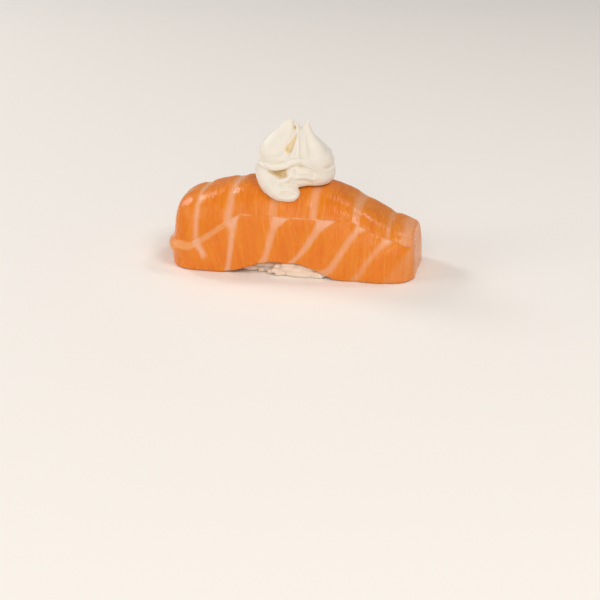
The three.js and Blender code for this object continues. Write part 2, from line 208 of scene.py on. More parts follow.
# %% The slice's measures, in mm
PLATE_CLEAR = 0.15
RIM = 0.7  # height of the rounding along the lower edge
RIM_INSET = 0.6
RIDGE = [  # the top line from the high end to the low end: x and z
    [-41.3, PLATE_CLEAR + RIM],
    [-41.3, 8],
    [-41.2, 13],
    [-40.9, 17.5],
    [-39.6, 20.5],
    [-37, 22.6],
    [-31, 24.6],
    [-23, 26.9],
    [-13, 28.4],
    [-2, 28.6],
    [9, 27.4],
    [17, 24.7],
    [23.5, 20.9],
    [30, 17.7],
    [35, 16.5],
    [37.6, 15.4],
    [38.3, 12.8],
    [38.6, 7],
    [38.7, PLATE_CLEAR + RIM],
]
HALF_WIDTH = 16
HIGH_END = {"reach": 41.9, "power": 14}  # how the slice narrows towards its two ends
LOW_END = {"reach": 39.5, "power": 12}
SLICE_TOP_THICKNESS = 5.6
HOLLOW_HALF_LENGTH = 34.5
HOLLOW_HALF_WIDTH = 12.9
FRONT_LIFT = 4.5
FRONT_LIFT_ALONG = (-24, -6, 1, 15)  # x where the lift starts, is full, is full still and ends
BACK_LIFT = 8.5
BACK_LIFT_ALONG = (-30, -17, 14, 28)
SEAM_LOW = 9.4  # height of the seam at the ear
SEAM_HIGH = 19.6
SEAM_FOOT = 11  # its height at the low end
SEAM_CLIMB = (-34, 16)  # x where it starts to climb, and how far along it climbs
SEAM_FALL = (19, 40)  # x where it starts to fall and where it ends
LEDGE_OUT = (0.9, 0.18)  # at the high end and at the low end
LEDGE_WIDTH = (2.4, 0.8)
LEDGE_FADE = 4.5
EAR = {"out": 1.0, "middle": 2.2, "half_width": 2.2}
CREASE = {"depth": 0.12, "half_width": 0.9}
FAT_LEAN = 0.41
FAT_FAN = 0.0145
GROOVE_DEPTH = 0.4
SEAM_V = -0.25  # the row of the grid that lies on the seam

ridge = smooth_line(RIDGE)
ridge_way = np.concatenate([[0], np.cumsum(np.linalg.norm(np.diff(ridge, axis=0), axis=1))])
ridge_length = ridge_way[-1]
print(f"top line {ridge_length:.1f} mm long")


# %% The smooth form
def ridge_at(u):
    """x and z of the top line at u, from -1 to 1 by length."""
    way = np.clip((u + 1) / 2, 0, 1) * ridge_length
    return np.interp(way, ridge_way, ridge[:, 0]), np.interp(way, ridge_way, ridge[:, 1])


def ridge_height(x):
    return np.interp(x, ridge[:, 0], ridge[:, 1])


def half_width(x):
    high = np.abs(x / HIGH_END["reach"]) ** HIGH_END["power"]
    low = np.abs(x / LOW_END["reach"]) ** LOW_END["power"]
    share = np.where(x < 0, high, low)
    return HALF_WIDTH * np.maximum(0.05, 1 - share) ** 0.4


def seam_height(x):
    start, length = SEAM_CLIMB
    rise = lerp(SEAM_LOW, SEAM_HIGH, np.clip((x - start) / length, 0, 1))
    return rise - (SEAM_HIGH - SEAM_FOOT) * smoothstep(x, *SEAM_FALL)


def lifted(x, by, along):
    """Height of a raised edge over the plate."""
    start, full, still_full, end = along
    return PLATE_CLEAR + by * smoothstep(x, start, full) * (1 - smoothstep(x, still_full, end))


def front_lift(x):
    return lifted(x, FRONT_LIFT, FRONT_LIFT_ALONG)


def back_lift(x):
    return lifted(x, BACK_LIFT, BACK_LIFT_ALONG)


ARCH_POWER = 2 / 3


def arch(angle):
    """Across and up on a squared-off arch, at an angle from its top."""
    across = np.sign(angle) * np.abs(np.sin(angle)) ** ARCH_POWER
    return across, np.maximum(0, np.cos(angle)) ** ARCH_POWER


def arch_angle(share):
    return np.arccos(np.clip(share, 0, 1) ** (1 / ARCH_POWER))


def smooth_form(u, v):
    """Points of the slice's outside before its relief, in mm."""
    x, top = ridge_at(u)
    seam = -arch_angle(np.minimum(0.8, seam_height(x) / top))
    front = -arch_angle(np.minimum(0.5, (front_lift(x) + RIM) / top))
    back = arch_angle(np.minimum(0.5, (back_lift(x) + RIM) / top))
    below = np.maximum(0, (SEAM_V - v) / (1 + SEAM_V))
    above = (v - SEAM_V) / (1 - SEAM_V)
    angle = np.where(v < SEAM_V, lerp(seam, front, below**0.7), lerp(seam, back, above))
    across, up = arch(angle)
    return np.stack([x, across * half_width(x), up * top], axis=1)


# %% [markdown]
# ## The lines of fat
# White connective tissue parts the blocks of muscle. Above the seam the lines run straight over
# the top. Below it they lean back towards the high end, and each starts in a wide hook at the
# seam and ends in a small toe. For every point of the grid one number says how far inside a line
# it lies, in mm. The relief sinks the lines with that number, and the finish paints them with it.

# %% Where the fat lies
# at: place along the seam; left, right: half-widths; hook: how much wider at the seam on the
# right, back_hook: the same on the left; toe: how much wider at the lower edge; pale: strength
FAT_BELOW = [
    {"at": -32.2, "left": 1.1, "right": 1.1, "toe": 0.5, "pale": 1.0, "ends": 7.6, "slant": 0.38},
    {"at": -19.2, "left": 1.3, "right": 1.3, "back_hook": 2.0, "toe": 0.5, "pale": 0.8},
    {
        "at": -5.5,
        "left": 1.3,
        "right": 1.4,
        "hook": 3.0,
        "back_hook": 0.5,
        "toe": 1.8,
        "pale": 0.65,
        "slant": 0.08,
    },
    {"at": 9.8, "left": 1.6, "right": 1.3, "hook": 3.0, "back_hook": 0.6, "toe": 1.8, "pale": 0.72},
    {"at": 22.6, "left": 1.4, "right": 1.1, "hook": 2.2, "back_hook": 0.4, "toe": 1.6, "pale": 0.65},
    {"at": 30.5, "left": 0.8, "right": 0.8, "hook": 1, "back_hook": 0.2, "toe": 0.8, "pale": 0.55},
    {"at": 38.2, "left": 0.6, "right": 0.5, "hook": 0.3, "toe": 0.3, "pale": 0.3},
]
FAT_ABOVE = [
    {"at": -32.2, "left": 0.9, "right": 0.8, "pale": 0.9},
    {"at": -21.0, "left": 1.4, "right": 1.1, "pale": 0.75},
    {"at": -6.6, "left": 1.5, "right": 1.3, "pale": 0.45},
    {"at": 6.2, "left": 1.4, "right": 1.2, "pale": 0.6},
    {"at": 19.8, "left": 1.5, "right": 1.3, "pale": 0.6},
    {"at": 29.9, "left": 0.8, "right": 0.7, "pale": 0.5},
    {"at": 37.2, "left": 3.4, "right": 1.0, "pale": 0.6, "soft": 2.0},
]
HOOK_PALE = 0.8  # how much stronger a line shows in its hook
HOOK_DEPTH = 4.2  # how far below the seam the hooks reach
TOE_HEIGHT = 3.0


def fat_field(q, below, height):
    """How far inside a line of fat a point lies, in mm, and how pale that line is.

    q: place along the seam of the point's column; below: depth under the seam, negative above
    it; height: above the lower edge.
    """
    inside = np.full(q.shape, -9.0)
    pale = np.zeros(q.shape)
    hooked = np.clip(1 - below / HOOK_DEPTH, 0, 1) ** 1.3
    toed = 1 - smoothstep(height, 0, TOE_HEIGHT)
    for lines, here in ((FAT_ABOVE, below <= 0), (FAT_BELOW, below > 0)):
        low = lines is FAT_BELOW
        for line in lines:
            left_wider = line.get("back_hook", 0) * hooked + line.get("toe", 0) * toed
            left = line["left"] + low * left_wider
            right = line["right"] + low * line.get("hook", 0) * hooked
            off = q - line["at"] - line.get("slant", 0) * np.maximum(0, below)
            depth = np.minimum(off + left, right - off) / line.get("soft", 1)
            if "ends" in line:
                depth = np.minimum(depth, 0.6 * (line["ends"] - below))
            nearer = here & (depth > inside)
            inside[nearer] = depth[nearer]
            pale[nearer] = line["pale"] * (1 + low * HOOK_PALE * hooked[nearer])
    return inside, pale


# %% [markdown]
# ## The slice: relief
# The ledge, the ear at its high end, the sunk lines of fat and a little unevenness are added
# along the surface's own direction outwards. A bump in the finish couldn't do this: the ledge
# shows in the outline.


# %% The relief and the outer surface
def ledge_width(q):
    return lerp(*LEDGE_WIDTH, smoothstep(q, -30, -14))


def relief(q, below, y, inside):
    in_front = 1 - smoothstep(y, -7, 6)
    width = ledge_width(q)
    ledge = lerp(*LEDGE_OUT, smoothstep(q, -30, -14)) * smoothstep(below, -0.2, width)
    step = ledge * np.exp(-np.maximum(0, below - width) / LEDGE_FADE)
    ear = EAR["out"] * (1 - smoothstep(q, -40, -33)) * bump(below, EAR["middle"], EAR["half_width"])
    crease = CREASE["depth"] * smoothstep(q, 8, 26) * bump(below, -0.2, CREASE["half_width"])
    groove = GROOVE_DEPTH * smoothstep(inside, -1.6, 0.9)
    return in_front * (step + ear - crease) - groove


def lean(u, x, below):
    """How far u moves where a column leans back below the seam."""
    shift = (FAT_LEAN + FAT_FAN * x) * np.maximum(0, below)
    return -2 * shift * (1 - np.abs(u) ** 6) / ridge_length


STEP = 0.004  # in u and v, between the points that give a direction
WAVES = {"height": 0.22, "size": 11, "seed": 3}  # the unevenness of soft flesh, in mm
RIPPLES = {"height": 0.07, "size": 3.5, "seed": 8}


def outer_surface(u, v):
    """The finished outside in mm, with the numbers that its finish is painted by."""
    plain = smooth_form(u, v)
    q = plain[:, 0]
    below = seam_height(q) - plain[:, 2]
    below = np.where(v < SEAM_V, below, np.minimum(0, below))
    leaning = u + np.where(v < SEAM_V, lean(u, q, below), 0)
    u_mid = np.clip(leaning, STEP - 1, 1 - STEP)
    v_mid = np.clip(v, STEP - 1, 1 - STEP)
    along = smooth_form(u_mid + STEP, v_mid) - smooth_form(u_mid - STEP, v_mid)
    across = smooth_form(u_mid, v_mid + STEP) - smooth_form(u_mid, v_mid - STEP)
    normal = np.cross(along, across)
    normal /= np.linalg.norm(normal, axis=1)[:, None]
    base = smooth_form(leaning, v)
    height = base[:, 2] - front_lift(base[:, 0])
    inside, pale = fat_field(q, below, height)
    out = relief(q, below, base[:, 1], inside)
    for wave in (WAVES, RIPPLES):
        out = out + wave["height"] * uneven(base, wave["size"], wave["seed"])
    return base + normal * out[:, None], q, below, inside, pale


# %% [markdown]
# A flat grid is extruded once, which gives a closed block one cell thick. Its top becomes the
# outside of the slice and is cut finer. Its bottom becomes the hollow that the rice fills, and
# it stays coarse, because nobody sees it.

# %% Bend the grid to the slice
COLUMNS = 80
ROWS = 40
FINER = 3  # extra cuts in each edge of the outside
MOUTH = 0.9  # share of the grid where the underside turns up into the hollow
RIM_END = 0.5  # share of the side where the rounding ends

bm = bmesh.new()
bmesh.ops.create_grid(bm, x_segments=COLUMNS, y_segments=ROWS, size=1)
raised = bmesh.ops.extrude_face_region(bm, geom=bm.faces[:])
top = [item for item in raised["geom"] if isinstance(item, bmesh.types.BMVert)]
bmesh.ops.translate(bm, verts=top, vec=(0, 0, 1))
standing = [e for e in bm.edges if abs(e.verts[0].co.z - e.verts[1].co.z) > 0.5]
bmesh.ops.subdivide_edges(bm, edges=standing, cuts=1)
upper = [e for e in bm.edges if min(vert.co.z for vert in e.verts) > RIM_END - 0.01]
bmesh.ops.subdivide_edges(bm, edges=upper, cuts=FINER, use_grid_fill=True)
print("grid:", len(bm.verts), "points,", len(bm.faces), "faces")


def closer_rows(v):
    """Moves the rows towards the seam, where the ledge needs them."""
    below = np.maximum(0, (SEAM_V - v) / (1 + SEAM_V)) ** 1.86
    above = np.maximum(0, (v - SEAM_V) / (1 - SEAM_V)) ** 1.15
    return np.where(v < SEAM_V, SEAM_V - below * (1 + SEAM_V), SEAM_V + above * (1 - SEAM_V))


def lift(points):
    """Height of the slice's lower edge over the plate."""
    across = np.clip((1 + points[:, 1] / HALF_WIDTH) / 2, 0, 1)
    return lerp(front_lift(points[:, 0]), back_lift(points[:, 0]), across)


def place_slice(grid):
    """Where each point of the block goes, with the numbers for the finish."""
    u, v, side = grid[:, 0], closer_rows(grid[:, 1]), grid[:, 2]
    points, q, below, inside, pale = outer_surface(u, v)
    # the rounding along the lower edge
    turned = np.clip((1 - side) / (1 - RIM_END), 0, 1) * math.pi / 2
    inset = RIM_INSET * (1 - np.cos(turned)) + 0.3 * np.clip(1 - side / RIM_END, 0, 1)
    rounded = points.copy()
    rounded[:, 0] -= np.sign(points[:, 0]) * inset * np.clip(np.abs(points[:, 0]) - 30, 0, 1)
    rounded[:, 1] -= np.sign(points[:, 1]) * np.minimum(inset, np.abs(points[:, 1]))
    rounded[:, 2] = lerp(points[:, 2], lift(points), np.sin(turned))
    # the hollow underneath
    share = np.max(np.abs(grid[:, :2]), axis=1)
    hu, hv = grid[:, 0] / MOUTH, grid[:, 1] / MOUTH
    end = np.sqrt(np.maximum(0.03, 1 - np.minimum(1, np.abs(hu)) ** 6))
    hx = np.clip(hu, -1, 1) * HOLLOW_HALF_LENGTH
    across, up = arch(np.clip(hv, -1, 1) * math.pi / 2)
    hy = across * HOLLOW_HALF_WIDTH * lerp(0.6, 1, end)
    ceiling = (ridge_height(hx) - SLICE_TOP_THICKNESS) * end * up
    hollow = np.stack([hx, hy, ceiling], axis=1)
    mouth_z = lift(hollow)
    hollow[:, 2] = np.where(share < MOUTH - 0.001, np.maximum(ceiling, mouth_z + 1), mouth_z)
    to_rim = np.clip((share - MOUTH) / (1 - MOUTH), 0, 1)[:, None]
    under = lerp(hollow, rounded, to_rim)
    wall = side[:, None]
    placed = np.where(wall > 0.001, np.where(wall < 0.999, rounded, points), under)
    return placed, q, below, inside, pale


# %% [markdown]
# ## The salmon's finish
# Raw salmon is wet and translucent: light goes a few millimetres in and comes out warmer, and
# the water film on it shines in broken patches. Under the film lie fine muscle fibres about a
# millimetre apart, and the film itself breaks into finer streaks. Principled with some
# subsurface gives the glow. Fibres and streaks are noise stretched along the flesh, read from an
# attribute that follows the surface, so that they bend with the slice.

# %% Raw salmon, cut and wet
salmon, tree = new_material("raw_salmon_flesh")
fibres = add(tree, "ShaderNodeAttribute", attribute_name="fibres")
fat = add(tree, "ShaderNodeAttribute", attribute_name="fat")
pale = add(tree, "ShaderNodeAttribute", attribute_name="pale")
ledge = add(tree, "ShaderNodeAttribute", attribute_name="ledge")
place = add(tree, "ShaderNodeTexCoord")

FIBRE_SPACING = 1.1  # mm across the fibres
FIBRE_LENGTH = 16.0  # mm along them
STREAK_SPACING = 0.6  # the finer waves of the water film on them
STREAK_LENGTH = 2.6
stretched = add(
    tree,
    "ShaderNodeMapping",
    {
        "Vector": fibres.outputs["Vector"],
        "Scale": (1 / FIBRE_SPACING, 1 / FIBRE_LENGTH, 1),
    },
)
strands = add(
    tree,
    "ShaderNodeTexNoise",
    {"Vector": stretched.outputs["Vector"], "Scale": 1.0, "Detail": 3.0, "Roughness": 0.55},
)
patches = add(
    tree,
    "ShaderNodeTexNoise",
    {"Vector": place.outputs["Object"], "Scale": 120.0, "Detail": 3.0},
)
streak_place = add(
    tree,
    "ShaderNodeMapping",
    {
        "Vector": fibres.outputs["Vector"],
        "Scale": (1 / STREAK_SPACING, 1 / STREAK_LENGTH, 0.3),
    },
)
streaks = add(
    tree,
    "ShaderNodeTexNoise",
    {"Vector": streak_place.outputs["Vector"], "Scale": 1.0, "Detail": 2.0},
)

strand_light = add(
    tree,
    "ShaderNodeMapRange",
    {"Value": strands.outputs["Fac"], "From Min": 0.42, "From Max": 0.72},
)
flesh = add(
    tree,
    "ShaderNodeMixRGB",
    {
        "Fac": strand_light.outputs["Result"],
        "Color1": linear("#E67A15"),
        "Color2": linear("#EE8E2A"),
    },
)
patch_mix = add(
    tree,
    "ShaderNodeMapRange",
    {"Value": patches.outputs["Fac"], "From Min": 0.35, "From Max": 0.7, "To Max": 0.45},
)
flesh = add(
    tree,
    "ShaderNodeMixRGB",
    {
        "Fac": patch_mix.outputs["Result"],
        "Color1": flesh.outputs["Color"],
        "Color2": linear("#EA8824"),
    },
)
beside_fat = add(
    tree,
    "ShaderNodeMapRange",
    {"Value": fat.outputs["Fac"], "From Min": -3.6, "From Max": -0.4, "To Max": 0.3},
)
flesh = add(
    tree,
    "ShaderNodeMixRGB",
    {
        "Fac": beside_fat.outputs["Result"],
        "Color1": flesh.outputs["Color"],
        "Color2": linear("#F09A30"),
    },
)
# Painted highlight: the flesh is lightened towards pale orange on the ledge, the ear and the seam
# line, where they face the light.
ledge_highlight_mix = add(
    tree,
    "ShaderNodeMath",
    {0: ledge.outputs["Fac"], 1: 0.9},
    operation="MULTIPLY",
)
flesh = add(
    tree,
    "ShaderNodeMixRGB",
    {
        "Fac": ledge_highlight_mix.outputs["Value"],
        "Color1": flesh.outputs["Color"],
        "Color2": linear("#F6B67C"),
    },
)
ragged = add(
    tree,
    "ShaderNodeMath",
    {0: strands.outputs["Fac"], 1: 1.3, 2: fat.outputs["Fac"]},
    operation="MULTIPLY_ADD",
)
fat_mask = add(
    tree,
    "ShaderNodeMapRange",
    {"Value": ragged.outputs["Value"], "From Min": 0.0, "From Max": 1.7},
    interpolation_type="SMOOTHSTEP",
)
fat_strength = add(
    tree,
    "ShaderNodeMath",
    {0: fat_mask.outputs["Result"], 1: pale.outputs["Fac"]},
    operation="MULTIPLY",
)
surface_colour = add(
    tree,
    "ShaderNodeMixRGB",
    {
        "Fac": fat_strength.outputs["Value"],
        "Color1": flesh.outputs["Color"],
        "Color2": linear("#F3B48C"),
    },
)
fine = add(
    tree,
    "ShaderNodeBump",
    {"Height": strands.outputs["Fac"], "Strength": 0.25, "Distance": 0.0005},
)
wet = add(
    tree,
    "ShaderNodeBump",
    {
        "Height": streaks.outputs["Fac"],
        "Strength": 0.5,
        "Distance": 0.0005,
        "Normal": fine.outputs["Normal"],
    },
)
shine = add(
    tree,
    "ShaderNodeMapRange",
    {
        "Value": patches.outputs["Fac"],
        "From Min": 0.3,
        "From Max": 0.7,
        "To Min": 0.16,
        "To Max": 0.35,
    },
)
body = add(
    tree,
    "ShaderNodeBsdfPrincipled",
    {
        "Base Color": surface_colour.outputs["Color"],
        "Roughness": shine.outputs["Result"],
        "Normal": wet.outputs["Normal"],
        "IOR": 1.4,
        "Subsurface Weight": 0.35,
        "Subsurface Radius": (1.0, 0.45, 0.12),
        "Subsurface Scale": 0.003,
    },
)
add(tree, "ShaderNodeOutputMaterial", {"Surface": body.outputs["BSDF"]})


# %% Finish a piece
def finish_piece(bm, name, node, material, attributes=None):
    """A bmesh in mm becomes a smooth piece in metres that stands for a node of the model."""
    bmesh.ops.recalc_face_normals(bm, faces=bm.faces[:])
    bmesh.ops.scale(bm, verts=bm.verts[:], vec=(MM, MM, MM))
    for face in bm.faces:
        face.smooth = True
    mesh = bpy.data.meshes.new(name)
    bm.to_mesh(mesh)
    bm.free()
    for label, (kind, values) in (attributes or {}).items():
        field = "vector" if kind == "FLOAT_VECTOR" else "value"
        layer = mesh.attributes.new(label, kind, "POINT")
        layer.data.foreach_set(field, np.asarray(values, np.float32).ravel())
    mesh.materials.append(material)
    piece = bpy.data.objects.new(name, mesh)
    bpy.context.scene.collection.objects.link(piece)
    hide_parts(node)
    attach(piece, "root")
    mesh.calc_loop_triangles()
    print(f"{name}: {len(mesh.loop_triangles)} triangles")
    return piece


def grid_points(bm):
    return np.array([vert.co for vert in bm.verts])


def move_points(bm, points):
    for vert, point in zip(bm.verts, points):
        vert.co = point


# %% Make the slice
FIBRE_LEAN = 0.24  # mm along for each mm below the seam
HATCH_LEAN = 1.2  # the fibres on the ledge lean the other way, and more
HATCH_SHORTER = 0.8  # share of their depth that they lose there
# Painted highlight: the ledge, the ear and a broken line along the seam are painted lighter where
# they catch the light; along the seam the line also stands for pale connective tissue.
SEAM_SHINE = {"below": 0.1, "half_width": 0.22, "strength": 0.8}
SEAM_BREAKS = {"size": 4.5, "seed": 21}  # mm between the breaks in the shining line
LEDGE_HIGHLIGHT = 0.55
EAR_HIGHLIGHT = 0.8
grid = grid_points(bm)
points, q, below, inside, fat_pale = place_slice(grid)
move_points(bm, points)
in_front = 1 - smoothstep(points[:, 1], -7, 2)
on_ledge = smoothstep(below, -0.1, 0.3) * (1 - smoothstep(below - ledge_width(q), -0.6, 0.6))
on_ledge *= in_front * (1 - smoothstep(q, -21, -14))
fibre_lean = FIBRE_LEAN * (1 - smoothstep(q, 2, 16)) * np.maximum(0, below)
fibre_lean = fibre_lean - HATCH_LEAN * on_ledge * below
fibre_depth = below * (1 - HATCH_SHORTER * on_ledge)
fibre_place = np.stack([points[:, 0] - fibre_lean, fibre_depth, points[:, 1] * 0.2], axis=1)
broken = smoothstep(uneven(points, SEAM_BREAKS["size"], SEAM_BREAKS["seed"]), -0.25, 0.25)
seam_highlight = bump(below, SEAM_SHINE["below"], SEAM_SHINE["half_width"]) * in_front * broken
seam_highlight = seam_highlight * (1 - smoothstep(q, 8, 20)) * SEAM_SHINE["strength"]
on_ear = (1 - smoothstep(q, -40.6, -36)) * bump(below, EAR["middle"], EAR["half_width"]) * in_front
painted_highlight_mask = np.maximum(LEDGE_HIGHLIGHT * on_ledge, EAR_HIGHLIGHT * on_ear)
painted_highlight_mask = np.maximum(painted_highlight_mask, seam_highlight)
finish_piece(
    bm,
    "salmon_slice_fine",
    "salmon_slice",
    salmon,
    {
        "fibres": ("FLOAT_VECTOR", fibre_place),
        "fat": ("FLOAT", inside),
        "pale": ("FLOAT", fat_pale),
        # painted highlight on the ledge, the ear and the seam line
        "ledge": ("FLOAT", painted_highlight_mask),
    },
)

# %% [markdown]
# ## The rice
# Sushi rice is short and plump, about 6 mm by 2.5 mm, cooked soft and pressed together by hand.
# It shows under the raised edges of the slice, and underneath. The grains are real meshes on a
# core that fills the slice from inside. Those at the front stick together, so a Remesh
# modifier melts them into one lump. Those at the back stay single, and each is drawn a little
# differently by a seeded generator.

# %% Cooked rice
cooked_rice, tree = new_material("cooked_short_grain_rice")
place = add(tree, "ShaderNodeTexCoord")
cloud = add(
    tree,
    "ShaderNodeTexNoise",
    {"Vector": place.outputs["Object"], "Scale": 260.0, "Detail": 2.0},
)
# The rice is painted warmer and darker than its own white, as a painted orange reflection from the
# salmon and painted shade; the tone also varies at random in clouds.
starch_and_painted_bounce = add(
    tree,
    "ShaderNodeMixRGB",
    {"Fac": cloud.outputs["Fac"], "Color1": linear("#E8CEB8"), "Color2": linear("#F5E5D6")},
)
grain_bump = add(
    tree,
    "ShaderNodeBump",
    {"Height": cloud.outputs["Fac"], "Strength": 0.2, "Distance": 0.0004},
)
body = add(
    tree,
    "ShaderNodeBsdfPrincipled",
    {
        "Base Color": starch_and_painted_bounce.outputs["Color"],
        "Normal": grain_bump.outputs["Normal"],
        "Roughness": 0.5,
        "IOR": 1.35,
        "Subsurface Weight": 0.5,
        "Subsurface Radius": (1.0, 0.7, 0.45),
        "Subsurface Scale": 0.0015,
    },
)
add(tree, "ShaderNodeOutputMaterial", {"Surface": body.outputs["BSDF"]})


# %% Melt what touches into one skin
def melt(bm, voxel, smoothings):
    """The closed pieces of a bmesh in mm as one skin, with softened seams."""
    raw = bpy.data.meshes.new("raw")
    bm.to_mesh(raw)
    bm.free()
    lump = bpy.data.objects.new("lump", raw)
    bpy.context.scene.collection.objects.link(lump)
    skin = lump.modifiers.new("skin", "REMESH")
    skin.mode = "VOXEL"
    skin.voxel_size = voxel
    soften = lump.modifiers.new("soften", "SMOOTH")
    soften.factor = 0.5
    soften.iterations = smoothings
    bpy.context.view_layer.update()
    melted = lump.evaluated_get(bpy.context.evaluated_depsgraph_get())
    bm = bmesh.new()
    bm.from_mesh(melted.to_mesh())
    bpy.data.objects.remove(lump)
    bm.normal_update()
    print("melted into", len(bm.faces), "faces")
    return bm


# %% The core of the rice
CORE_GAP = 0.5
bm = bmesh.new()
bmesh.ops.create_grid(bm, x_segments=36, y_segments=20, size=1)
raised = bmesh.ops.extrude_face_region(bm, geom=bm.faces[:])
top = [item for item in raised["geom"] if isinstance(item, bmesh.types.BMVert)]
bmesh.ops.translate(bm, verts=top, vec=(0, 0, 1))
grid = grid_points(bm)
half_length = HOLLOW_HALF_LENGTH - CORE_GAP
end = np.sqrt(np.maximum(0.03, 1 - grid[:, 0] ** 6))
core_x = grid[:, 0] * half_length
across, up = arch(grid[:, 1] * math.pi / 2)
core_y = across * (HOLLOW_HALF_WIDTH - CORE_GAP) * lerp(0.6, 1, end)
dome = (ridge_height(core_x) - SLICE_TOP_THICKNESS - CORE_GAP) * end * up
CORE_FOOT = 1.2  # the core stops short of the plate, and grains cover it
core_z = np.where(grid[:, 2] > 0.5, np.maximum(CORE_FOOT + 1, dome), CORE_FOOT)
move_points(bm, np.stack([core_x, core_y, core_z], axis=1))
finish_piece(bm, "rice_core", "rice", cooked_rice)

# %% Lay the grains
GRAIN = {"length": 6.2, "width": 2.6, "height": 2.3}
RICE_SEED = 7
RICE_VOXEL = 0.2  # mm
RICE_SMOOTHINGS = 0
draw = random.Random(RICE_SEED)


def spread(middle, half):
    return middle + half * draw.uniform(-1, 1)


def lay_grain(bm, x, y, z, yaw, pitch, size=1.0, fineness=3):
    """One plump grain with its middle at x, y, z, turned by yaw and pitch in degrees."""
    half = [GRAIN[side] / 2 * size for side in ("length", "width", "height")]
    turn = Matrix.Rotation(math.radians(yaw), 4, "Z") @ Matrix.Rotation(math.radians(pitch), 4, "Y")
    place = Matrix.Translation((x, y, z)) @ turn @ Matrix.Diagonal((*half, 1))
    made = bmesh.ops.create_icosphere(bm, subdivisions=fineness, radius=1)
    dent = draw.uniform(0.02, 0.14)
    for vert in made["verts"]:
        along = abs(vert.co.x)
        blunt = math.sqrt((1 - along**3 + 1e-6) / (1 - along**2 + 1e-6))
        vert.co.y *= blunt
        vert.co.z = vert.co.z * blunt - dent * along**2
    bmesh.ops.transform(bm, matrix=place, verts=made["verts"])
    for vert in made["verts"]:
        vert.co.z = max(vert.co.z, 0.04)


# x, y, z, yaw, pitch and size of the grains under the raised front edge
FRONT_GRAINS = [
    (-4.7, -13.7, 3.3, 70, 0, 0.8),
    (-1.4, -13.9, 3.6, 8, 4, 0.85),
    (2.6, -13.8, 3.1, -6, 8, 0.8),
    (5.9, -13.7, 2.5, 15, 10, 0.75),
    (-5.0, -13.9, 1.9, 50, 0, 0.85),
    (-2.2, -14.2, 2.3, -10, -3, 0.85),
    (1.4, -14.3, 2.1, 12, 3, 0.9),
    (5.0, -14.3, 1.6, -8, 5, 0.85),
    (8.6, -14.1, 1.2, 16, 4, 0.8),
    (-3.6, -14.1, 0.9, 25, 0, 0.85),
    (0.2, -14.5, 0.9, -6, 0, 0.9),
    (4.0, -14.6, 0.8, 8, 2, 0.85),
    (7.4, -14.4, 0.75, -12, 0, 0.8),
    (0.6, -12.6, 2.6, 50, 0, 1.0),
    (5.6, -12.8, 1.8, 30, 0, 1.0),
    (-6.8, -12.4, 1.0, 60, 0, 0.9),
    (-9.6, -11.6, 1.0, 24, 0, 0.9),
    (-12.4, -11.1, 1.0, -30, 0, 0.85),
    (-7.4, -11.9, 2.6, 10, 0, 0.9),
    (-10.8, -11.3, 2.5, -16, 0, 0.9),
    (-13.6, -10.8, 2.2, 20, 0, 0.85),
]
BACK_EDGE = 14
BACK_ROWS = 5
BACK_RISE = 1.7  # from row to row, in mm
BACK_SIZE = 0.86
BACK_ENDS = (-22, 21)  # x of the band's ends
UNDER_PITCH = (6.1, 2.4)  # along and across, in mm
UNDER_SHIFT = 3.0  # every second row lies this much further on
UNDER_HALF_LENGTH = 31
bm = bmesh.new()
for grain in FRONT_GRAINS:
    lay_grain(bm, *grain)
bm = melt(bm, RICE_VOXEL, RICE_SMOOTHINGS)
pitch_x = GRAIN["length"] * BACK_SIZE * 0.88
for row in range(BACK_ROWS):
    z = GRAIN["height"] / 2 + row * BACK_RISE
    x = BACK_ENDS[0] + (row % 2) * pitch_x / 2 + row
    while x < BACK_ENDS[1] - row:
        y = BACK_EDGE - row * 0.2 + spread(0, 0.4)
        size = spread(BACK_SIZE, 0.08)
        lay_grain(bm, spread(x, 0.8), y, spread(z, 0.3), spread(0, 34), spread(0, 24), size)
        x += pitch_x
for column in range(-5, 6):
    for row in range(-5, 6):
        x = column * UNDER_PITCH[0] + (row % 2) * UNDER_SHIFT
        if abs(x) < UNDER_HALF_LENGTH:
            y = spread(row * UNDER_PITCH[1], 0.3)
            lay_grain(bm, spread(x, 0.7), y, spread(1.2, 0.12), spread(0, 25), 0, fineness=2)
finish_piece(bm, "rice_grains", "rice", cooked_rice)

# %% [markdown]
# ## The cream cheese
# The nozzle lays a thick rope that closes on itself, then it is pulled off upwards, and the cream
# tears into lobes that end in two peaks with a thin ridge between them. Two pieces of rope that
# touch would show a seam, so every rope, lobe and fold is first a line of balls: each row
# gives right, front and height in mm, as the eye at the table sees them, and the ball's radius.
# A sphere is drawn out along each line, and all of them melt into one piece.

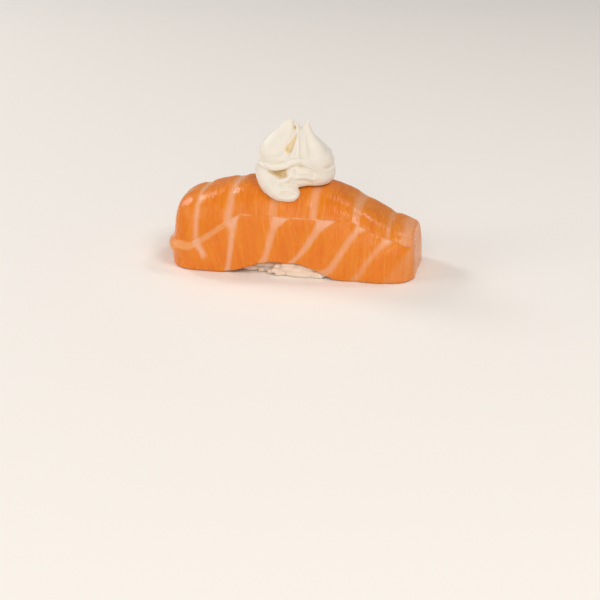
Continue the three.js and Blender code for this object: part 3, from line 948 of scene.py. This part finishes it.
# %% The lobes of the rosette
ROSETTE_X = -1.6
ROSETTE_TURN = math.radians(12.2)  # the rosette's front is turned this much towards +X
LOBES = {
    "rope": [
        (-2.2, 9.6, 26.2, 3),
        (-4.8, 9.4, 27, 3.5),
        (-7.4, 7.2, 28.8, 4.3),
        (-8.9, 3, 30.8, 4.6),
        (-8.4, -3.5, 31.6, 4.6),
        (-3.5, -8.2, 31.6, 4.6),
        (3.5, -8.2, 31.6, 4.6),
        (7.8, -4, 31.2, 4.1),
        (8.5, 1.2, 30.2, 3.4),
        (6.6, 4.6, 30.4, 3.1),
        (3, 6.2, 31, 3),
        (0.2, 7, 30.7, 3),
    ],
    "core": [
        (-1, 1, 31, 6.2),
        (-1, 1, 35, 6.6),
        (-0.2, 1.2, 40, 4.4),
        (0.2, 0.9, 43.6, 2.2),
        (0.4, 0.5, 45.4, 0.8),
    ],
    "left lobe": [
        (-7.2, 2.6, 38.2, 5.2),
        (-5.8, 1.8, 41.2, 3.9),
        (-4.3, 1.2, 44.2, 2.4),
        (-3.3, 0.8, 46.4, 1.6),
    ],
    "left face": [
        (-6.2, 4.2, 38, 3.6),
        (-4.6, 2.7, 41.6, 3.1),
        (-3.3, 1.7, 44.4, 2.3),
        (-2.7, 1, 46.5, 1.6),
    ],
    "left peak": [(-3.1, 0.8, 47, 1.3), (-2.2, 0.5, 47.5, 1.15)],
    "tooth": [
        (-1, 6.4, 37.4, 2.5),
        (-0.9, 5.6, 39.6, 2.3),
        (-0.5, 4, 42.6, 1.7),
        (-0.1, 2.4, 45, 0.9),
    ],
    "ridge": [
        (-0.2, 8.6, 37, 0.8),
        (-0.15, 8, 39.6, 0.8),
        (-0.1, 5.9, 42.4, 0.7),
        (-0.1, 3.2, 45, 0.55),
        (-0.1, 1.2, 47.2, 0.4),
    ],
    "right face": [
        (1.5, 5.6, 37.4, 2.6),
        (1.4, 5.1, 40, 2),
        (1.3, 3.4, 42.8, 1.3),
        (1.2, 1.6, 45, 0.7),
    ],
    "right lobe": [
        (5.6, 2.4, 35.6, 4.2),
        (5, 2.4, 37.8, 3.8),
        (3.9, 2, 40.6, 3.1),
        (3, 1.4, 43.6, 2),
        (2.9, 0.6, 46.2, 0.95),
        (3.1, 0.2, 47.4, 0.5),
    ],
    "shoulder": [
        (2.6, 5.6, 36.8, 1.6),
        (5.2, 5.2, 36.2, 2.2),
        (7.8, 3, 35.8, 2.6),
        (8.6, -1.4, 36.4, 2.5),
    ],
    "right flank": [(4.4, 5, 35.4, 3), (7.2, 3.4, 34.8, 3), (9, -0.5, 34.8, 2.8)],
    "skirt": [
        (-11, 2.8, 36, 1.6),
        (-9, 5, 36.3, 2),
        (-6.6, 6.7, 36.8, 2.1),
        (-4, 7.3, 37.4, 2.1),
        (-1.5, 7.6, 37.7, 1.8),
    ],
    "lip": [
        (-12.2, 3, 34.6, 0.8),
        (-10.2, 6.6, 34.6, 0.9),
        (-7.2, 9.3, 34.8, 1),
        (-4, 10.2, 35.8, 1.1),
        (-1.5, 9.9, 36.8, 1.1),
        (0.6, 9, 37, 0.9),
    ],
    "post": [(-2.4, 8, 32.2, 2), (-2.3, 7.8, 34, 2.1), (-1, 7.4, 35.4, 2.2)],
    "front": [(-3, 6, 31, 4), (0, 6, 32, 4), (3.4, 5.2, 31.6, 3.8), (6, 3.8, 31, 3.4)],
    "rim": [
        (-11.2, 4.4, 33, 0.9),
        (-8.4, 8.6, 31.4, 0.9),
        (-5.6, 10.6, 30.8, 0.9),
        (-3.8, 10.4, 31.1, 0.9),
        (-2.4, 9.6, 32.2, 0.9),
    ],
    "upper layer": [
        (0.4, 8.6, 36.6, 1),
        (2.9, 8, 36.2, 1.1),
        (6, 6.7, 34.2, 1.1),
        (8.8, 4.8, 32.2, 1),
        (11.3, 0.8, 32.4, 0.9),
    ],
    "middle layer": [
        (-0.4, 9, 34, 1.1),
        (2.4, 8.9, 34.1, 1.1),
        (4.9, 8, 33.1, 1),
        (7, 6.4, 32, 0.8),
    ],
    "lower layer": [
        (-0.6, 9.6, 32.1, 1.1),
        (2, 9.5, 32.3, 1.1),
        (4.7, 8.3, 31, 1),
        (6.4, 7, 30.4, 0.8),
    ],
    "back lobe 1": [
        (6.6, -2.6, 35.6, 4.2),
        (4, -2.2, 39.2, 3.4),
        (1.7, -1.2, 42.8, 2),
        (1, -0.5, 44.8, 0.8),
    ],
    "back lobe 2": [
        (2.2, -7, 36, 4.6),
        (1.4, -5, 39.4, 3.8),
        (0.6, -2.4, 42.8, 2),
        (0.4, -1, 44.4, 0.8),
    ],
    "back lobe 3": [
        (-4.2, -6, 36.4, 4.6),
        (-3.3, -4.4, 39.6, 3.8),
        (-2.2, -2, 43.2, 2.2),
        (-1.4, -0.8, 45.2, 0.9),
    ],
    "back lobe 4": [
        (-8, -1.6, 37, 3.9),
        (-6.2, -1.2, 40, 3.3),
        (-3.9, -0.6, 43.6, 1.9),
        (-2.6, 0, 45.8, 0.9),
    ],
}


def to_table(right, front, height):
    """From right and front, as the eye sees them, to the model's x and y."""
    x = ROSETTE_X + right * math.cos(ROSETTE_TURN) + front * math.sin(ROSETTE_TURN)
    y = right * math.sin(ROSETTE_TURN) - front * math.cos(ROSETTE_TURN)
    return np.stack([x, y, height], axis=-1)


# %% Draw a sphere out along a line of balls
CAP = 0.22  # share of the sphere, from pole to pole, that closes each end
STANDING = np.array([0.13, 0.21, 1.0])  # no line runs this way, so it can orient the rings


def drawn_out(sphere, rows):
    """Points of a unit sphere, moved to the skin round the balls of a line."""
    rows = np.array(rows, float)
    line = smooth_line(np.column_stack([to_table(*rows[:, :3].T), rows[:, 3]]), 20)
    centre, radius = line[:, :3], line[:, 3]
    way = np.concatenate([[0], np.cumsum(np.linalg.norm(np.diff(centre, axis=0), axis=1))])
    widening = np.arcsin(np.clip(-np.gradient(radius, way), -0.95, 0.95))
    heading = np.gradient(centre, way, axis=0)
    share = np.arccos(np.clip(-sphere[:, 2], -1, 1)) / math.pi
    here = np.clip((share - CAP) / (1 - 2 * CAP), 0, 1) * way[-1]
    ahead = np.stack([np.interp(here, way, heading[:, k]) for k in range(3)], axis=1)
    ahead /= np.linalg.norm(ahead, axis=1)[:, None]
    tilt = np.interp(here, way, widening)
    quarter = math.pi / 2
    tilt = np.where(share < CAP, lerp(-quarter, widening[0], share / CAP), tilt)
    tilt = np.where(share > 1 - CAP, lerp(quarter, widening[-1], (1 - share) / CAP), tilt)
    aside = np.cross(ahead, STANDING)
    aside /= np.linalg.norm(aside, axis=1)[:, None]
    upward = np.cross(aside, ahead)
    turn = np.arctan2(sphere[:, 1], sphere[:, 0])[:, None]
    outward = aside * np.cos(turn) + upward * np.sin(turn)
    middle = np.stack([np.interp(here, way, centre[:, k]) for k in range(3)], axis=1)
    reach = np.interp(here, way, radius)[:, None]
    return middle + reach * (ahead * np.sin(tilt)[:, None] + outward * np.cos(tilt)[:, None])


bm = bmesh.new()
for rows in LOBES.values():
    made = bmesh.ops.create_uvsphere(bm, u_segments=32, v_segments=48, radius=1)["verts"]
    sphere = np.array([vert.co for vert in made])
    for vert, point in zip(made, drawn_out(sphere, rows)):
        vert.co = point
bmesh.ops.recalc_face_normals(bm, faces=bm.faces[:])
print(len(LOBES), "lines of balls,", len(bm.faces), "faces")

# %% Melt the lobes into one piece
CREAM_VOXEL = 0.23  # mm
CREAM_SMOOTHINGS = 5
bm = melt(bm, CREAM_VOXEL, CREAM_SMOOTHINGS)

# %% Seat it on the slice
# The cream lies on the fish: what would sink into the slice is moved out to its surface.
SEAT_GAP = 0.3
points = grid_points(bm)
seat_width = half_width(points[:, 0]) + SEAT_GAP
seat_top = ridge_height(points[:, 0]) + SEAT_GAP
squared = 2 / ARCH_POWER
level = (np.abs(points[:, 1]) / seat_width) ** squared
level += (np.abs(points[:, 2]) / seat_top) ** squared
out_by = np.maximum(level, 1e-6) ** (-1 / squared)
points[:, 1:] *= np.where(level < 1, out_by, 1)[:, None]
move_points(bm, points)
bm.normal_update()

# %% [markdown]
# The finest folds are pressed in from the front. Each stroke is a line in the plane that the eye
# sees: right, rise, the stroke's half-width on its left and on its right, and how far it moves
# the surface, outwards or, with a minus, inwards. A small left half-width makes a sharp edge.

# %% Press in the finest folds
ROSETTE_FOOT = 28.7
EYE_RISE = math.radians(17.2)  # the rosette stands above the middle of the view
EYE_DISTANCE = 510
STROKES = {
    "groove": [
        (-0.3, 14.6, 0.4, 0.5, -0.5),
        (-0.8, 12.6, 0.4, 0.9, -1.4),
        (-1.5, 10.6, 0.5, 1.4, -2),
        (-2.3, 8.7, 0.6, 1.8, -2),
        (-3.1, 6.9, 0.7, 1.8, -0.9),
    ],
    "valley": [
        (1.7, 13.4, 0.8, 1, -0.15),
        (1.7, 10.2, 0.9, 1.1, -0.25),
        (1.6, 6.6, 0.9, 1.1, -0.2),
    ],
    "hollow": [(-7.6, 1.5, 0.8, 1.2, -0.4), (-6, 1.2, 1, 1.5, -0.8), (-4.6, 0.9, 1, 1.5, -1)],
    "fold": [
        (-12.3, 5.5, 0.5, 0.5, -0.2),
        (-10.6, 3.6, 0.5, 0.6, -0.5),
        (-8.6, 1.9, 0.5, 0.7, -0.6),
    ],
    "crease": [
        (0.8, 3.7, 0.5, 0.9, -0.7),
        (3.6, 2.9, 0.5, 1, -1.2),
        (5.9, 1.9, 0.5, 1, -0.9),
        (8.2, 0.5, 0.5, 0.9, -0.4),
    ],
    "second crease": [
        (-0.3, 0.6, 0.5, 0.6, -0.4),
        (2, 0.8, 0.5, 0.7, -0.8),
        (4.8, 0.2, 0.5, 0.7, -0.6),
    ],
    "third crease": [
        (-0.4, -0.8, 0.5, 0.8, -0.6),
        (2, -0.6, 0.5, 0.8, -0.8),
        (4.4, -1.5, 0.5, 0.8, -0.5),
    ],
    "dimple": [(-5.2, -2.7, 1.3, 1.3, -0.6), (-4.8, -2.7, 1.3, 1.3, -0.6)],
    "bulge": [(6.2, 0.5, 1.6, 1.8, 0.4), (7, 0.5, 1.6, 1.8, 0.4)],
}
TUBE_END = {"right": -3.6, "rise": -5.6, "half_width": 3.0, "half_height": 1.15, "deep": 0.5}
points = grid_points(bm)
towards_eye = to_table(0, 1, 0) - to_table(0, 0, 0)
towards_eye = towards_eye * math.cos(EYE_RISE) + np.array([0, 0, math.sin(EYE_RISE)])
facing = smoothstep(np.array([vert.normal for vert in bm.verts]) @ towards_eye, -0.05, 0.35)
from_axis = points - to_table(0, 0, ROSETTE_FOOT)
right = from_axis @ (to_table(1, 0, 0) - to_table(0, 0, 0))
front = from_axis @ (to_table(0, 1, 0) - to_table(0, 0, 0))
nearer = 1 / (1 - front / EYE_DISTANCE)
rise = (from_axis[:, 2] * math.cos(EYE_RISE) - front * math.sin(EYE_RISE)) * nearer
right = right * nearer


def pressed(right, rise, stroke):
    """How far a stroke moves points at right and rise."""
    rows = np.array(stroke, float)
    fine = np.linspace(0, len(rows) - 1, 60)
    line = np.stack([np.interp(fine, np.arange(len(rows)), column) for column in rows.T], axis=1)
    course = np.gradient(line[:, :2], axis=0)
    course /= np.linalg.norm(course, axis=1)[:, None]
    apart = np.hypot(right[:, None] - line[:, 0], rise[:, None] - line[:, 1])
    nearest = apart.argmin(axis=1)
    off = apart[np.arange(len(right)), nearest]
    start = line[nearest]
    left = course[nearest, 0] * (rise - start[:, 1]) - course[nearest, 1] * (right - start[:, 0])
    width = np.where(left > 0, start[:, 2], start[:, 3])
    return start[:, 4] * np.clip(1 - (off / width) ** 2, 0, 1) ** 2


seen = (facing > 0) & (front > 0)
moved = np.zeros(len(points))
for stroke in STROKES.values():
    moved[seen] += pressed(right[seen], rise[seen], stroke)
from_middle = np.hypot(
    (right - TUBE_END["right"]) / TUBE_END["half_width"],
    (rise - TUBE_END["rise"]) / TUBE_END["half_height"],
)
dished = TUBE_END["deep"] * (1 - smoothstep(from_middle, 0.8, 1.05))
moved += seen * (0.5 * TUBE_END["deep"] * bump(from_middle, 1.15, 0.35) - dished)
move_points(bm, points + towards_eye * (moved * facing)[:, None])
STROKE_SMOOTHINGS = 4
STROKE_LEAST = 0.03  # mm: points that moved less are left as they are
pushed = [vert for vert, by in zip(bm.verts, np.abs(moved * facing)) if by > STROKE_LEAST]
for _ in range(STROKE_SMOOTHINGS):
    bmesh.ops.smooth_vert(
        bm, verts=pushed, factor=0.5, use_axis_x=True, use_axis_y=True, use_axis_z=True
    )
bm.normal_update()

# %% Find the folds for the painted shade
# Shade is painted yellow into folds that face each other, so every point looks round: the
# attribute says how much of what it sees within a few mm is more cream.
LOOKS = 24
LOOK_DISTANCE = 5
FOLD_SOFTENINGS = 10  # rounds of averaging with the points next to each
FOLD_SHADE_SHOWS = (0.16, 0.9)  # share of cream in sight where the yellow starts and is full
looks = np.random.default_rng(3).normal(size=(LOOKS, 3))
looks = [Vector(look).normalized() for look in looks]
tree_of_faces = BVHTree.FromBMesh(bm)
fold_shade = []
for vert in bm.verts:
    met = total = 0
    for look in looks:
        facing_look = look.dot(vert.normal)
        total += abs(facing_look)
        outward = look if facing_look > 0 else -look
        if tree_of_faces.ray_cast(vert.co + vert.normal * 0.1, outward, LOOK_DISTANCE)[0]:
            met += abs(facing_look)
    fold_shade.append(met / total)
fold_shade = np.array(fold_shade)
bm.verts.index_update()
ends = np.array([[vert.index for vert in edge.verts] for edge in bm.edges])
neighbours = np.bincount(ends.ravel(), minlength=len(fold_shade))
for _ in range(FOLD_SOFTENINGS):
    met = np.bincount(ends[:, 0], fold_shade[ends[:, 1]], len(fold_shade))
    met += np.bincount(ends[:, 1], fold_shade[ends[:, 0]], len(fold_shade))
    fold_shade = lerp(fold_shade, met / neighbours, 0.6)
fold_shade = smoothstep(fold_shade, *FOLD_SHADE_SHOWS)
print("folds:", int((fold_shade > 0.5).sum()), "of", len(fold_shade), "points")

# %% [markdown]
# ## Cream cheese: the finish
# Cream cheese is fat and water, white with a breath of yellow. Light scatters deep in it, and
# shade is painted yellow into folds that face each other. It is smooth, with a soft satin shine.

# %% Soft cream cheese
cream, tree = new_material("piped_cream_cheese")
place = add(tree, "ShaderNodeTexCoord")
painted_fold_shade = add(tree, "ShaderNodeAttribute", attribute_name="painted_fold_shade")
cloud = add(
    tree,
    "ShaderNodeTexNoise",
    {"Vector": place.outputs["Object"], "Scale": 140.0, "Detail": 3.0},
)
curd = add(
    tree,
    "ShaderNodeMixRGB",
    {"Fac": cloud.outputs["Fac"], "Color1": linear("#EAE3D6"), "Color2": linear("#F3EEE4")},
)
# Painted shade: the folds are mixed towards yellow.
deep = add(
    tree,
    "ShaderNodeMixRGB",
    {"Fac": painted_fold_shade.outputs["Fac"], "Color1": curd.outputs["Color"], "Color2": linear("#EFD08C")},
)
curd_bump = add(
    tree,
    "ShaderNodeBump",
    {"Height": cloud.outputs["Fac"], "Strength": 0.15, "Distance": 0.0005},
)
body = add(
    tree,
    "ShaderNodeBsdfPrincipled",
    {
        "Base Color": deep.outputs["Color"],
        "Normal": curd_bump.outputs["Normal"],
        "Roughness": 0.46,
        "IOR": 1.4,
        "Subsurface Weight": 0.35,
        "Subsurface Radius": (1.0, 0.85, 0.6),
        "Subsurface Scale": 0.0015,
    },
)
add(tree, "ShaderNodeOutputMaterial", {"Surface": body.outputs["BSDF"]})

# %% Finish the rosette
finish_piece(
    bm,
    "cream_rosette_fine",
    "cream_rosette",
    cream,
    # painted shade in the folds
    {"painted_fold_shade": ("FLOAT", fold_shade)},
)
